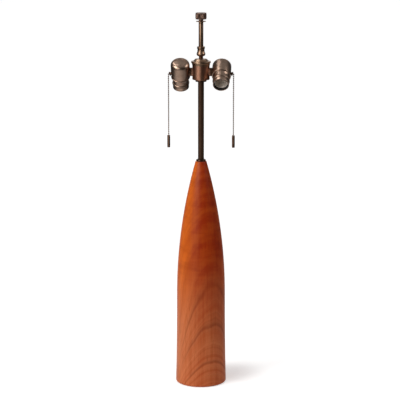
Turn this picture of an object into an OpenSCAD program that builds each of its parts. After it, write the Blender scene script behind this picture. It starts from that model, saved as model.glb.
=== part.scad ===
// Table lamp with a turned wood column, a two-socket cluster on a pole and a riser for a shade.
// The origin is the centre of the foot, +Z is up, the two arms lie along X and the front is -Y.

/* [Wood column] */
// Height of the turned column
column_h = 485.2; // [400:0.2:560]
// Diameter of the column where its side stands upright
waist_d = 103.4; // [92:0.2:116]
// Height of that place above the column's underside
waist_h = 194; // [150:1:240]
// Width that the side gains towards the foot
foot_flare = 2.6; // [1:0.1:5]
// Diameter of the flat top
column_top_d = 23.5; // [22.5:0.1:30]
// Radius of the rounded edge of the foot
foot_round = 3; // [1:0.5:5]
// Diameter of the recess in the underside
recess_d = 64; // [50:1:76]
// Depth of the recess in the underside
recess_depth = 22; // [20:0.5:32]

/* [Felt pad] */
// Diameter of the felt pad
felt_d = 94; // [84:1:96]
// Thickness of the felt pad
felt_t = 1.6; // [1:0.1:3]
// Height that the pad stands out of the wood
felt_proud = 0.8; // [0.4:0.1:0.9]

/* [Cord inlet] */
// Height of the inlet's centre above the table
inlet_z = 13; // [11.5:0.5:14]
// Bore of the inlet bushing
inlet_bore = 7; // [5:0.1:7.6]
// Outer diameter of the bushing's body
bushing_d = 10; // [9.2:0.1:11]
// Diameter of the bushing's flange
bushing_flange_d = 14; // [13:0.1:16]
// Thickness of the bushing's flange
bushing_flange_t = 1.5; // [1:0.1:1.8]
// Depth of the flat seat cut for the flange
inlet_seat_depth = 2.2; // [1.8:0.1:3]

/* [Threaded rod and nuts] */
// Outer diameter of the hollow threaded rod and nipples
rod_d = 10.3; // [9.6:0.1:10.6]
// Bore of the rod and nipples
rod_bore = 6.8; // [5:0.1:7.4]
// Width across the flats of the nuts
nut_af = 14.3; // [13.5:0.1:14.6]
// Thickness of the nut under the column and the nut in the cluster
nut_t = 4.8; // [3:0.1:5]
// Thickness of the thin nuts on the nipples and the stem
thin_nut_t = 2.9; // [2:0.1:3]
// Length of rod beyond each nut
rod_beyond = 1.2; // [0.5:0.1:2]
// Outer diameter of the washer under the column
base_washer_d = 40; // [30:1:48]
// Thickness of the washer under the column
base_washer_t = 2; // [1:0.1:3]

/* [Pole] */
// Outer diameter of the pole tube
pole_d = 12.7; // [12.3:0.1:14]
// Length of pole seen between the collar and the seat ring
pole_h = 165.7; // [120:0.1:220]
// Wall of the pole tube
pole_wall = 0.9; // [0.6:0.1:1]
// Depth to which the tube sits in the collar and the seat ring
pole_seat = 2.8; // [1.5:0.1:3]
// Outer diameter of the collar on the wood
collar_d = 20.6; // [18:0.1:22]
// Height of the collar on the wood
collar_h = 4.5; // [4:0.1:7]
// Outer diameter of the ring under the cluster
seat_ring_d = 23.3; // [19:0.1:26]
// Height of the ring under the cluster
seat_ring_h = 4.3; // [4:0.1:7]

/* [Cluster] */
// Outer diameter of the cluster cup
cup_d = 36.3; // [35.6:0.1:37.4]
// Height of the cluster cup
cup_h = 30; // [28:0.1:34]
// Wall of the cup and the lid
cup_wall = 1.4; // [1:0.1:1.6]
// Chamfer round the cup's lower edge
cup_chamfer = 0.8; // [0.3:0.1:1.2]
// Height of the arms' axis above the cup's underside
arm_rise = 16; // [15.4:0.1:17]
// Diameter of the arm bosses and knuckles
arm_d = 17.8; // [16.6:0.1:18]
// Distance from the lamp's axis to the face of each arm boss
boss_x = 19.6; // [19.2:0.1:20.2]
// Diameter of the lid's flared rim
rim_d = 41.3; // [39:0.1:44]
// Height of the lid's flared rim
rim_h = 9.1; // [8:0.1:11]
// Diameter of the lid's flat top
dome_top_d = 22.4; // [19:0.1:24]
// Rise of the dome above the rim
dome_h = 4.8; // [4:0.1:8]
// Length of the lid's spigot in the cup
spigot_h = 3.5; // [2:0.1:4]

/* [Riser] */
// Diameter of the thin stem
stem_d = 9.4; // [8:0.1:9.8]
// Length of stem seen between the lid and the coupling
stem_gap = 5.7; // [3:0.1:9]
// Height of the coupling
coupling_h = 20; // [18:0.1:26]
// Diameter of the coupling's bulge
bulge_d = 18.6; // [17:0.1:21]
// Diameter of the coupling's waist
coupling_waist_d = 14.7; // [13:0.1:15.4]
// Diameter of the coupling's flange
coupling_flange_d = 16.4; // [15.6:0.1:18]
// Diameter of the riser rod
riser_d = 9.9; // [9:0.1:10.6]
// Length of riser seen between the coupling and the washer
riser_h = 51.9; // [40:0.1:80]
// Depth to which the riser and the stem sit in the coupling
coupling_seat = 7.9; // [5:0.1:8.4]
// Diameter of the threaded stud on the riser
stud_d = 6.3; // [5:0.1:6.6]
// Length of the threaded stud on the riser
stud_h = 12; // [9:0.1:14]

/* [Shade washer and finial] */
// Diameter of the washer under the shade
shade_washer_d = 20.5; // [18:0.1:26]
// Thickness of the washer under the shade
shade_washer_t = 1.4; // [0.8:0.1:2.5]
// Diameter of the finial's neck
finial_neck_d = 9.4; // [8.6:0.1:11]
// Height of the finial's neck
finial_neck_h = 3.9; // [2:0.1:6]
// Diameter of the finial's knob
finial_d = 23.4; // [20:0.1:28]
// Height of the finial's knob
finial_h = 13.3; // [11:0.1:18]
// Chamfer round the knob's edges
finial_chamfer = 0.6; // [0.2:0.1:1.2]

/* [Socket placing] */
// Distance from the lamp's axis to each socket's axis
socket_x = 43.3; // [43:0.1:46]
// Tilt of the left socket's mouth from straight down, to the back
left_tilt = 30; // [-30:1:60]
// Tilt of the right socket's mouth from straight down, to the front when negative
right_tilt = -56; // [-60:0.5:30]

/* [Socket cap] */
// Largest diameter of the socket cap
cap_d = 40; // [39:0.1:41]
// Diameter of the cap's flat end
cap_end_d = 22.4; // [18:0.1:25]
// Height of the cap's end above the arms' axis
cap_top = 26; // [25:0.1:29]
// Reach of the cap's skirt below the arms' axis
cap_skirt = 14; // [13:0.1:16]
// Outer diameter of the cap at the end of its skirt
skirt_d = 37.8; // [37:0.1:38.6]
// Wall of the cap
cap_wall = 0.9; // [0.6:0.1:1.2]

/* [Socket shell] */
// Outer diameter of the shell between its neck and its bead
shell_d = 32.7; // [32.5:0.1:33]
// Outer diameter of the shell at its mouth
mouth_d = 34; // [33:0.1:34.4]
// Diameter over the shell's bead
bead_d = 36.2; // [35:0.1:37]
// Distance of the mouth below the arms' axis
mouth_drop = 40; // [37:0.1:42]
// Distance of the bead below the arms' axis
bead_drop = 28.6; // [26:0.1:31]
// Distance of the neck below the arms' axis
neck_drop = 19.5; // [18:0.1:22]
// Length of shell inside the cap
shell_lap = 4.5; // [3:0.1:5]
// Wall of the shell
shell_wall = 0.6; // [0.4:0.1:0.8]
// Wall of the insulating liner
liner_wall = 0.8; // [0.4:0.1:0.9]

/* [Socket inside] */
// Bore of the screw shell that the bulb goes into
screw_bore = 26.6; // [26.2:0.1:27]
// Wall of the screw shell
screw_wall = 0.5; // [0.3:0.1:0.6]
// Depth of the screw shell's rim inside the mouth
screw_recess = 5.8; // [4:0.1:9]
// Height of the insulating core's flange
core_flange_h = 3.2; // [2.5:0.1:4]
// Height of the core below its flange
core_foot_h = 2.5; // [1.5:0.1:3]
// Diameter of the centre contact
contact_d = 9; // [6:0.1:12]
// Height of the centre contact
contact_h = 2.4; // [1.5:0.1:4]
// Diameter of a terminal screw's head
terminal_d = 5.6; // [4:0.1:6]

/* [Pull chain] */
// Diameter of one bead
chain_bead_d = 3.2; // [2.8:0.1:3.4]
// Pitch of the beads
chain_pitch = 4.23; // [3.9:0.01:4.6]
// Diameter of the wire between the beads
chain_wire_d = 1.1; // [0.8:0.1:1.3]
// Number of beads that hang below the guide
hanging_beads = 31; // [12:1:48]
// Diameter of the chain's pull
pull_d = 6.3; // [5.4:0.1:9]
// Length of the chain's pull
pull_h = 26.6; // [15:0.1:40]
// Travel of the chain that works the switch
pull_travel = 6; // [4:0.1:6.5]

/* [Chain guide and switch] */
// Distance from the socket's axis to the hanging chain
chain_out = 25.4; // [25:0.1:27]
// Distance of the guide below the arms' axis, at the cap's wall
guide_drop = 4.6; // [3.6:0.1:5.4]
// Downward tilt of the guide
guide_tilt = 22; // [18:0.5:26]
// Outer diameter of the guide's tube
guide_d = 6; // [5.4:0.1:6.2]
// Diameter of the guide's bell
bell_d = 9.6; // [8:0.1:10]
// Length of the guide's bell
bell_h = 2.6; // [2:0.1:3]
// Gap along the guide between its bell and the chain's plane
bell_gap = 2.8; // [2.4:0.1:3.2]
// Length of the switch lever from its pin to the chain
lever_r = 9; // [8.5:0.1:9.5]
// Diameter of the lever's pin
lever_pin_d = 2.5; // [2:0.1:3]

/* [Clearances] */
// Radial clearance of pieces that are fixed to each other
fit_gap = 0.05; // [0.02:0.01:0.08]
// Radial clearance of pieces that turn or slide on each other
run_gap = 0.08; // [0.05:0.01:0.1]
// Clearance between loose pieces
air_gap = 0.3; // [0.2:0.05:0.4]

/* [Hidden] */
$fn = 72;
bronze = "#6b4f3c";
dark_bronze = "#3a261c";
brass = "#b08d57";
steel = "#9a9a98";

// Heights along the lamp, from the table up
waist_r = waist_d / 2;
foot_r = waist_r + foot_flare;
column_z = felt_proud;
column_top = column_z + column_h;
waist_z = column_z + waist_h;
crown_rise = column_h - waist_h;
crown_in = (waist_d - column_top_d) / 2;
crown_r = (pow(crown_rise, 2) + pow(crown_in, 2)) / (2 * crown_in);
flare_r = (pow(waist_h, 2) + pow(foot_flare, 2)) / (2 * foot_flare);
recess_top = column_z + recess_depth;
base_nut_z = recess_top - base_washer_t - nut_t;
rod_z = base_nut_z - rod_beyond;
collar_top = column_top + collar_h;
ring_z = collar_top + pole_h;
cup_z = ring_z + seat_ring_h;
arm_z = cup_z + arm_rise;
cup_top = cup_z + cup_h;
rod_top = cup_z + cup_wall + nut_t + rod_beyond;
rim_top = cup_top + rim_h;
dome_top = rim_top + dome_h;
coupling_z = dome_top + stem_gap;
coupling_top = coupling_z + coupling_h;
washer_z = coupling_top + riser_h;
finial_z = washer_z + shade_washer_t;
knob_z = finial_z + finial_neck_h;
stem_nut_z = dome_top - cup_wall - thin_nut_t;

// Radii that seat the turned pieces in each other
rod_hole = rod_d / 2 + fit_gap;
cup_r = cup_d / 2;
cup_in = cup_r - cup_wall;
arm_r = arm_d / 2;
nut_corner = nut_af / sqrt(3);
nut_seat_x = sqrt(pow(cup_in, 2) - pow(nut_corner, 2)) - fit_gap;
inlet_seat_y = waist_r + foot_flare - inlet_seat_depth;

// Heights in a socket's own frame, where the arms' axis is zero and the mouth is below
skirt_r = skirt_d / 2;
cap_r = cap_d / 2;
cap_end_r = cap_end_d / 2;
shoulder_r = cap_r - cap_end_r;
shoulder_z = cap_top - shoulder_r;
shell_top_r = skirt_r - cap_wall - fit_gap;
shell_top_z = shell_lap - cap_skirt;
shell_in = shell_d / 2 - shell_wall;
bead_r = 2.6;
liner_r = shell_in - fit_gap;
core_z = shell_top_z - air_gap - core_flange_h;
core_foot_z = core_z - core_foot_h;
core_r = liner_r - liner_wall - fit_gap;
core_flange_r = shell_top_r - shell_wall - fit_gap;
core_top = core_z + core_flange_h;
screw_r = screw_bore / 2;
screw_rim_z = screw_recess - mouth_drop;
bore_end_z = core_foot_z - contact_h - air_gap;
knuckle_x = boss_x + 0.1 - socket_x;
pad_face_x = -sqrt(pow(cap_r - cap_wall, 2) - pow(arm_r, 2)) + 0.3;
nipple_end_x = pad_face_x + thin_nut_t + rod_beyond;

// The chain guide's line, counted from the bead at its mouth
bead = chain_bead_d / 2;
wire_r = chain_wire_d / 2;
lip_drop = guide_drop + (chain_out - cap_r) * tan(guide_tilt);
guide_in = (chain_out - cap_r + cap_wall) / cos(guide_tilt) + 2.2;
guide_bore = bead + air_gap;
inner_beads = 4;
fork_bead = inner_beads * chain_pitch + 2 * bead + 3.2;
fork_at = fork_bead - bead - 1;
pin_up = sqrt(pow(lever_r, 2) - pow(pull_travel / 2, 2));
lever_angle = asin(pull_travel / 2 / lever_r);
cheek_y = bead + 0.6;
cheek_t = 1.3;
cheek_r = 3;
cheek_w = 4.6;
spring_y = cheek_y + cheek_t + 0.1;
spring_h = 2;
lead_r = 1;
lead_y = 1.7;
sleeve_l = 10;
lever_x = chain_out + pin_up * sin(guide_tilt) - (fork_at - pull_travel / 2) * cos(guide_tilt);
lever_z = pin_up * cos(guide_tilt) + (fork_at - pull_travel / 2) * sin(guide_tilt) - lip_drop;
nut_face_x = nut_seat_x - thin_nut_t;
nipple_start_x = nut_face_x - 0.4;
lead_start_x = nipple_start_x - 0.4;
terminal_x = -3;
terminal_y = 9;
screw_hole_r = 1.5;

// A body turned about the vertical axis from points given as radius and height
module turned(points) {
  rotate_extrude() polygon(points);
}

// A flat ring that stands on z
module ring(z, outer_r, inner_r, h) {
  difference() {
    translate([0, 0, z]) cylinder(r = outer_r, h = h);
    translate([0, 0, z - 1]) cylinder(r = inner_r, h = h + 2);
  }
}

// A hexagonal nut with a plain bore, standing on z
module hex_nut(z, h, bore_r) {
  difference() {
    translate([0, 0, z]) cylinder(r = nut_corner, h = h, $fn = 6);
    translate([0, 0, z - 1]) cylinder(r = bore_r, h = h + 2);
  }
}

// A straight piece of wire between two points
module wire(a, b, r) {
  d = b - a;
  translate(a) rotate([0, acos(d[2] / norm(d)), atan2(d[1], d[0])]) cylinder(r = r, h = norm(d));
}

// Lays a piece along the arms' axis, with +Z outwards on the left (-1) or right (1) side
module at_arm(side) {
  translate([0, 0, arm_z]) rotate([0, side * 90, 0]) children();
}

// Puts a piece in the frame of the left (-1) or right (1) socket, drawn with the lamp's axis at its -X side
module at_socket(side) {
  tilt = side < 0 ? left_tilt : right_tilt;
  translate([side * socket_x, 0, arm_z]) rotate([tilt, 0, 0]) mirror([side < 0 ? 1 : 0, 0, 0]) children();
}

// Puts a piece on the guide's line, with +Z along it outwards and zero at the bead in its mouth
module at_guide() {
  translate([chain_out, 0, -lip_drop]) rotate([0, 90 + guide_tilt, 0]) children();
}

// Puts a piece on the lever's pin, with its Y axis along the pin
module at_lever() {
  translate([lever_x, 0, lever_z]) rotate([0, 90 + guide_tilt, 0]) children();
}

// Hangs a piece straight down from the bead in the guide's mouth
module at_chain(side) {
  tilt = side < 0 ? left_tilt : right_tilt;
  translate([side * (socket_x + chain_out), lip_drop * sin(tilt), arm_z - lip_drop * cos(tilt)]) children();
}

module felt_pad() {
  color("#3d4a3a") cylinder(r = felt_d / 2, h = felt_t);
}

// The upper side is one arc that stands upright at the waist, and the foot flares out along another
module column_outline() {
  top_r = column_top_d / 2;
  intersection() {
    translate([0, waist_z]) square([waist_r, crown_rise]);
    translate([waist_r - crown_r, waist_z]) circle(r = crown_r, $fn = 720);
  }
  difference() {
    translate([0, column_z + foot_round]) square([foot_r, waist_h - foot_round]);
    translate([waist_r + flare_r, waist_z]) circle(r = flare_r, $fn = 2400);
  }
  translate([0, column_z]) square([foot_r - foot_round - 0.2, foot_round]);
  translate([foot_r - foot_round - 0.1, column_z + foot_round]) circle(r = foot_round);
}

module wood_column() {
  color("#b5592c") difference() {
    rotate_extrude($fn = 144) column_outline();
    translate([0, 0, -1]) cylinder(r = rod_d / 2 + air_gap, h = column_top + 2);
    translate([0, 0, -1]) cylinder(r = felt_d / 2 + air_gap, h = felt_t + 1);
    translate([0, 0, -1]) cylinder(r = recess_d / 2, h = recess_top + 1);
    translate([0, 0, inlet_z]) rotate([-90, 0, 0]) cylinder(r = bushing_d / 2 + fit_gap, h = foot_r + 5);
    translate([0, inlet_seat_y, inlet_z]) rotate([-90, 0, 0]) cylinder(r = bushing_flange_d / 2 + 0.2, h = 10);
  }
}

module cord_bushing() {
  body_l = inlet_seat_y - recess_d / 2;
  color("#1d1b1a") translate([0, inlet_seat_y - body_l, inlet_z]) rotate([-90, 0, 0]) difference() {
    union() {
      cylinder(r = bushing_d / 2, h = body_l + 0.1);
      translate([0, 0, body_l]) cylinder(r = bushing_flange_d / 2, h = bushing_flange_t);
    }
    translate([0, 0, -1]) cylinder(r = inlet_bore / 2, h = body_l + bushing_flange_t + 2);
  }
}

module base_washer() {
  color(steel) ring(recess_top - base_washer_t, base_washer_d / 2, rod_hole, base_washer_t);
}

module base_nut() {
  color(steel) hex_nut(base_nut_z, nut_t, rod_hole);
}

module lamp_rod() {
  color(steel) ring(rod_z, rod_d / 2, rod_bore / 2, rod_top - rod_z);
}

// The collar's edge is turned to a half round
module check_collar() {
  edge_r = collar_h / 2;
  color(dark_bronze) difference() {
    union() {
      translate([0, 0, column_top]) cylinder(r = collar_d / 2 - edge_r, h = collar_h);
      rotate_extrude() translate([collar_d / 2 - edge_r, column_top + edge_r]) circle(r = edge_r, $fn = 48);
    }
    translate([0, 0, column_top - 1]) cylinder(r = rod_hole, h = collar_h + 2);
    translate([0, 0, collar_top - pole_seat]) cylinder(r = pole_d / 2 + fit_gap, h = pole_seat + 1);
  }
}

module pole_tube() {
  z = collar_top - pole_seat;
  color(dark_bronze) ring(z, pole_d / 2, pole_d / 2 - pole_wall, pole_h + 2 * pole_seat);
}

module seat_ring() {
  color(dark_bronze) difference() {
    ring(ring_z, seat_ring_d / 2, rod_hole, seat_ring_h);
    translate([0, 0, ring_z - 1]) cylinder(r = pole_d / 2 + fit_gap, h = pole_seat + 1);
  }
}

module cluster_cup() {
  color(bronze) difference() {
    union() {
      turned([[0, cup_z], [cup_r - cup_chamfer, cup_z], [cup_r, cup_z + cup_chamfer], [cup_r, cup_top],
        [0, cup_top]]);
      at_arm(1) cylinder(r = arm_r, h = 2 * boss_x, center = true);
    }
    translate([0, 0, cup_z + cup_wall]) cylinder(r = cup_in, h = cup_h);
    translate([0, 0, cup_z - 1]) cylinder(r = rod_hole, h = cup_wall + 2);
    at_arm(1) cylinder(r = rod_hole, h = 2 * boss_x + 2, center = true);
  }
}

module cluster_nut() {
  color(steel) hex_nut(cup_z + cup_wall, nut_t, rod_hole);
}

// Rim with a cove below and an ogee from the rim to the dome's flat top
module cluster_lid() {
  rim_r = rim_d / 2;
  neck_r = cup_r + 0.45;
  cove = rim_r - neck_r;
  ogee_r = rim_r - 3.2;
  top_r = dome_top_d / 2;
  cove_points = [for (a = [0:11.25:90]) [neck_r + cove * (1 - cos(a)), cup_top + 1 + 4.2 * sin(a)]];
  ogee = ogee_r - top_r;
  ogee_points = [for (a = [0:18:180]) [ogee_r - ogee * a / 180, rim_top + dome_h * (1 - cos(a)) / 2]];
  outer = concat([[0, cup_top], [neck_r, cup_top]], cove_points,
    [[rim_r, rim_top - 0.6], [rim_r - 0.6, rim_top]], ogee_points, [[0, dome_top]]);
  spigot_r = cup_in - fit_gap;
  inside_r = spigot_r - cup_wall;
  color(bronze) difference() {
    union() {
      turned(outer);
      translate([0, 0, cup_top - spigot_h]) cylinder(r = spigot_r, h = spigot_h + 1);
    }
    turned([[0, cup_top - spigot_h - 1], [inside_r, cup_top - spigot_h - 1], [inside_r, rim_top - cup_wall],
      [top_r - 0.5, dome_top - cup_wall], [0, dome_top - cup_wall]]);
    translate([0, 0, rim_top]) cylinder(r = stem_d / 2 + fit_gap, h = dome_h + 1);
  }
}

module stem_nut() {
  color(steel) hex_nut(stem_nut_z, thin_nut_t, stem_d / 2 + fit_gap);
}

module riser_stem() {
  z = stem_nut_z - rod_beyond;
  color(dark_bronze) translate([0, 0, z]) cylinder(r = stem_d / 2, h = coupling_z + coupling_seat - z);
}

// Pear-shaped below and flanged above
module riser_coupling() {
  bulge_r = 4.6;
  bulge_z = coupling_z + bulge_r - 0.4;
  waist = coupling_waist_d / 2;
  flange_r = coupling_flange_d / 2;
  flange_z = coupling_top - 5.3;
  color(bronze) difference() {
    union() {
      rotate_extrude() intersection() {
        translate([bulge_d / 2 - bulge_r, bulge_z]) circle(r = bulge_r, $fn = 64);
        translate([0, coupling_z]) square([bulge_d, 2 * bulge_r]);
      }
      turned([[0, coupling_z], [bulge_d / 2 - bulge_r, coupling_z], [bulge_d / 2 - 0.6, bulge_z + 2.4],
        [waist + 0.4, bulge_z + 5], [waist, bulge_z + 7], [waist, flange_z], [flange_r, flange_z + 0.5],
        [flange_r, coupling_top - 0.4], [flange_r - 0.4, coupling_top], [0, coupling_top]]);
    }
    translate([0, 0, coupling_z - 1]) cylinder(r = stem_d / 2 + fit_gap, h = coupling_seat + 1.1);
    translate([0, 0, coupling_top - coupling_seat]) cylinder(r = riser_d / 2 + fit_gap, h = coupling_seat + 1);
  }
}

// The riser ends in a shoulder for the washer and a threaded stud, with a fine groove below its top
module riser_rod() {
  z = coupling_top - coupling_seat + 0.1;
  groove_z = washer_z - 4.8;
  color(bronze) difference() {
    union() {
      translate([0, 0, z]) cylinder(r = riser_d / 2, h = washer_z - z);
      translate([0, 0, washer_z - 1]) cylinder(r = stud_d / 2, h = stud_h + 1);
    }
    ring(groove_z, riser_d, riser_d / 2 - 0.35, 0.7);
  }
}

module shade_washer() {
  color(dark_bronze) ring(washer_z, shade_washer_d / 2, stud_d / 2 + fit_gap, shade_washer_t);
}

module finial() {
  r = finial_d / 2;
  c = finial_chamfer;
  top = knob_z + finial_h;
  bore_h = stud_h - shade_washer_t + 1;
  color(bronze) difference() {
    turned([[0, finial_z], [finial_neck_d / 2, finial_z], [finial_neck_d / 2, knob_z], [r - c, knob_z],
      [r, knob_z + c], [r, top - c], [r - c, top], [0, top]]);
    translate([0, 0, finial_z - 1]) cylinder(r = stud_d / 2 + run_gap, h = bore_h + 1);
  }
}

module nipple_lock_nuts() {
  for (side = [-1, 1]) {
    color(steel) at_arm(side) hex_nut(nut_face_x, thin_nut_t, rod_hole);
  }
}

module swivel_nuts() {
  for (side = [-1, 1]) {
    color(steel) at_arm(side) hex_nut(socket_x + pad_face_x + 0.1, thin_nut_t, rod_hole);
  }
}

// Two crimped sleeves join the wires of the left and the right socket
module splice_sleeves() {
  for (way = [-1, 1]) {
    color("#c9b458") at_arm(1) translate([0, way * lead_y, 0])
      ring(-sleeve_l / 2, lead_y - 0.1, lead_r + fit_gap, sleeve_l);
  }
}

module splice_wires() {
  length = 2 * (lead_start_x - air_gap);
  for (way = [-1, 1]) {
    color("#e4dfd2") at_arm(1) translate([0, way * lead_y, 0]) cylinder(r = lead_r, h = length, center = true);
  }
}

module swivel_nipple(side) {
  length = socket_x + nipple_end_x - nipple_start_x;
  color(steel) at_arm(side) ring(nipple_start_x, rod_d / 2, rod_bore / 2, length);
}

// The cap's outer or inner surface, solid, grown inwards by a wall
module cap_form(wall) {
  r = shoulder_r - wall;
  rotate_extrude() {
    polygon([[0, -cap_skirt], [skirt_r - wall, -cap_skirt], [cap_r - wall, -2], [cap_r - wall, shoulder_z],
      [cap_end_r, shoulder_z], [cap_end_r, cap_top - wall], [0, cap_top - wall]]);
    intersection() {
      translate([cap_end_r, shoulder_z]) circle(r = r, $fn = 96);
      translate([cap_end_r - 1, shoulder_z - 0.5]) square([r + 2, r + 2]);
    }
  }
}

// The knuckle turns on the nipple against the cluster's boss, and its other end is shaped to the cap
module swivel_knuckle() {
  color(dark_bronze) difference() {
    translate([knuckle_x, 0, 0]) rotate([0, 90, 0]) cylinder(r = arm_r, h = 10);
    cap_form(-fit_gap);
    rotate([0, -90, 0]) cylinder(r = rod_d / 2 + run_gap, h = socket_x);
  }
}

// The cap has a thick pad inside for the nipple's nut, and a hole for the chain guide
module socket_cap() {
  color(bronze) difference() {
    union() {
      difference() {
        cap_form(0);
        cap_form(cap_wall);
        translate([0, 0, -cap_skirt - 1]) cylinder(r = skirt_r - cap_wall, h = 1.5);
      }
      intersection() {
        cap_form(0.2);
        translate([-cap_r, 0, 0]) rotate([0, 90, 0]) cylinder(r = arm_r, h = cap_r + pad_face_x);
      }
    }
    rotate([0, -90, 0]) cylinder(r = rod_d / 2 + run_gap, h = socket_x);
    at_guide() translate([0, 0, -chain_out / 2]) cylinder(r = guide_d / 2 + fit_gap, h = chain_out / 2);
  }
}

module socket_shell() {
  neck_r = shell_d / 2;
  mouth_r = mouth_d / 2;
  inside_r = shell_top_r - shell_wall;
  step_z = -cap_skirt - 0.2;
  color(bronze) difference() {
    union() {
      turned([[0, shell_top_z], [shell_top_r, shell_top_z], [shell_top_r, step_z], [neck_r, -neck_drop],
        [neck_r, -bead_drop], [mouth_r, -bead_drop], [mouth_r, -mouth_drop], [0, -mouth_drop]]);
      rotate_extrude() translate([bead_d / 2 - bead_r, -bead_drop]) circle(r = bead_r, $fn = 48);
    }
    turned([[0, shell_top_z + 1], [inside_r, shell_top_z + 1], [inside_r, step_z], [shell_in, -neck_drop],
      [0, -neck_drop]]);
    translate([0, 0, -mouth_drop - 1]) cylinder(r = shell_in, h = mouth_drop - neck_drop + 2);
  }
}

module socket_liner() {
  top = core_z - fit_gap;
  bottom = 0.4 - mouth_drop;
  color("#2b211b") ring(bottom, liner_r, liner_r - liner_wall, top - bottom);
}

// The bore ends below the centre contact, where the shell is drawn in by its own wall
module screw_shell() {
  outer_r = screw_r + screw_wall;
  inner_r = screw_r - screw_wall;
  color(brass) difference() {
    union() {
      translate([0, 0, screw_rim_z]) cylinder(r = outer_r, h = bore_end_z + screw_wall - screw_rim_z);
      translate([0, 0, screw_rim_z]) cylinder(r = outer_r + 0.4, h = 0.8);
      translate([0, 0, bore_end_z]) cylinder(r = screw_r, h = core_foot_z - bore_end_z);
    }
    translate([0, 0, screw_rim_z - 1]) cylinder(r = screw_r, h = bore_end_z - screw_rim_z + 1);
    translate([0, 0, bore_end_z - 1]) cylinder(r = inner_r, h = core_foot_z - bore_end_z - screw_wall + 1);
    translate([0, 0, core_foot_z - 2]) cylinder(r = contact_d / 2 + 2.5, h = 3);
  }
}

// Outline of a cheek with its pin hole, seen along the pin
module cheek() {
  foot_z = core_top - 0.1;
  difference() {
    union() {
      translate([lever_x, lever_z]) circle(r = cheek_r);
      translate([lever_x - cheek_w / 2, foot_z]) square([cheek_w, lever_z - foot_z]);
    }
    translate([lever_x, lever_z]) circle(r = lever_pin_d / 2 + fit_gap);
  }
}

// Insulating core with two cheeks that carry the lever's pin, and holes for the terminal screws
module socket_core() {
  color("#d9cfbd") difference() {
    union() {
      translate([0, 0, core_z]) cylinder(r = core_flange_r, h = core_flange_h);
      translate([0, 0, core_foot_z]) cylinder(r = core_r, h = core_foot_h + 0.1);
      for (way = [-1, 1]) {
        back_y = way < 0 ? -cheek_y : cheek_y + cheek_t;
        translate([0, back_y, 0]) rotate([90, 0, 0]) linear_extrude(cheek_t) cheek();
      }
    }
    for (way = [-1, 1]) {
      translate([terminal_x, way * terminal_y, core_z + 0.4])
        cylinder(r = screw_hole_r + fit_gap, h = core_flange_h);
    }
  }
}

module centre_contact() {
  color(brass) translate([0, 0, core_foot_z - contact_h])
    cylinder(r1 = contact_d / 4, r2 = contact_d / 2, h = contact_h);
}

module terminal_screws() {
  for (way = [-1, 1]) {
    color(brass) translate([terminal_x, way * terminal_y, core_top]) difference() {
      union() {
        cylinder(r = terminal_d / 2, h = 2);
        translate([0, 0, 0.6 - core_flange_h]) cylinder(r = screw_hole_r, h = core_flange_h);
      }
      translate([-terminal_d, -0.4, 1.3]) cube([2 * terminal_d, 0.8, 2]);
    }
  }
}

// Two wires from the cluster through the hollow nipple to the terminal screws
module socket_leads() {
  color("#e4dfd2") for (way = [-1, 1]) {
    start = [lead_start_x - socket_x, way * lead_y, 0];
    bend = [nipple_end_x + 1.5, way * lead_y, 0];
    foot = [terminal_x, way * (terminal_y - terminal_d / 2 - lead_r), core_top + lead_r + 0.3];
    wire(start, bend, lead_r);
    wire(bend, foot, lead_r);
    translate(bend) sphere(r = lead_r + 0.1);
  }
}

module lever_pin() {
  start_y = -cheek_y - cheek_t - 0.2;
  end_y = spring_y + spring_h + 0.3;
  color(steel) at_lever() translate([0, start_y, 0]) rotate([-90, 0, 0])
    cylinder(r = lever_pin_d / 2, h = end_y - start_y);
}

// A wound torsion spring in its plain outer form
module lever_spring() {
  pin_r = lever_pin_d / 2;
  color(steel) at_lever() translate([0, spring_y, 0]) rotate([-90, 0, 0])
    ring(0, pin_r + 1.1, pin_r + fit_gap, spring_h);
}

// A flat lever whose forked end straddles the chain
module switch_lever() {
  width = 2 * cheek_y - 2 * air_gap;
  color(steel) at_lever() rotate([0, lever_angle, 0]) difference() {
    union() {
      rotate([90, 0, 0]) cylinder(r = lever_pin_d / 2 + 1.2, h = width, center = true);
      translate([0, -width / 2, -0.3]) cube([lever_r + 1.5, width, 0.6]);
    }
    rotate([90, 0, 0]) cylinder(r = lever_pin_d / 2 + run_gap, h = width + 2, center = true);
    translate([lever_r - 1.6, -wire_r - air_gap, -1]) cube([4, 2 * wire_r + 2 * air_gap, 2]);
  }
}

// A short tube through the cap's wall that opens to a bell
module chain_guide() {
  r = guide_d / 2;
  bell_r = bell_d / 2;
  mouth = -bell_gap;
  throat = mouth - bell_h;
  color(dark_bronze) at_guide() turned([[guide_bore, -guide_in], [r, -guide_in], [r, throat],
    [r + 0.2, throat + 1], [bell_r, mouth], [bell_r - 0.5, mouth], [guide_bore + 0.5, throat + 1.1],
    [guide_bore, throat + 0.3]]);
}

// The chain inside the guide, with a last bead behind the lever's fork
module inner_chain() {
  start = bead + 0.25;
  color(bronze) at_guide() {
    for (i = [1:inner_beads]) {
      translate([0, 0, -i * chain_pitch]) sphere(r = bead, $fn = 32);
    }
    translate([0, 0, -fork_bead]) sphere(r = bead, $fn = 32);
    translate([0, 0, -fork_bead]) cylinder(r = wire_r, h = fork_bead - start, $fn = 24);
  }
}

module lip_bead(side) {
  color(bronze) at_chain(side) sphere(r = bead, $fn = 32);
}

module hanging_chain(side) {
  start = bead + 0.25;
  drop = hanging_beads * chain_pitch;
  color(bronze) at_chain(side) {
    for (i = [1:hanging_beads]) {
      translate([0, 0, -i * chain_pitch]) sphere(r = bead, $fn = 32);
    }
    translate([0, 0, -drop]) cylinder(r = wire_r, h = drop - start, $fn = 24);
  }
}

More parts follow.
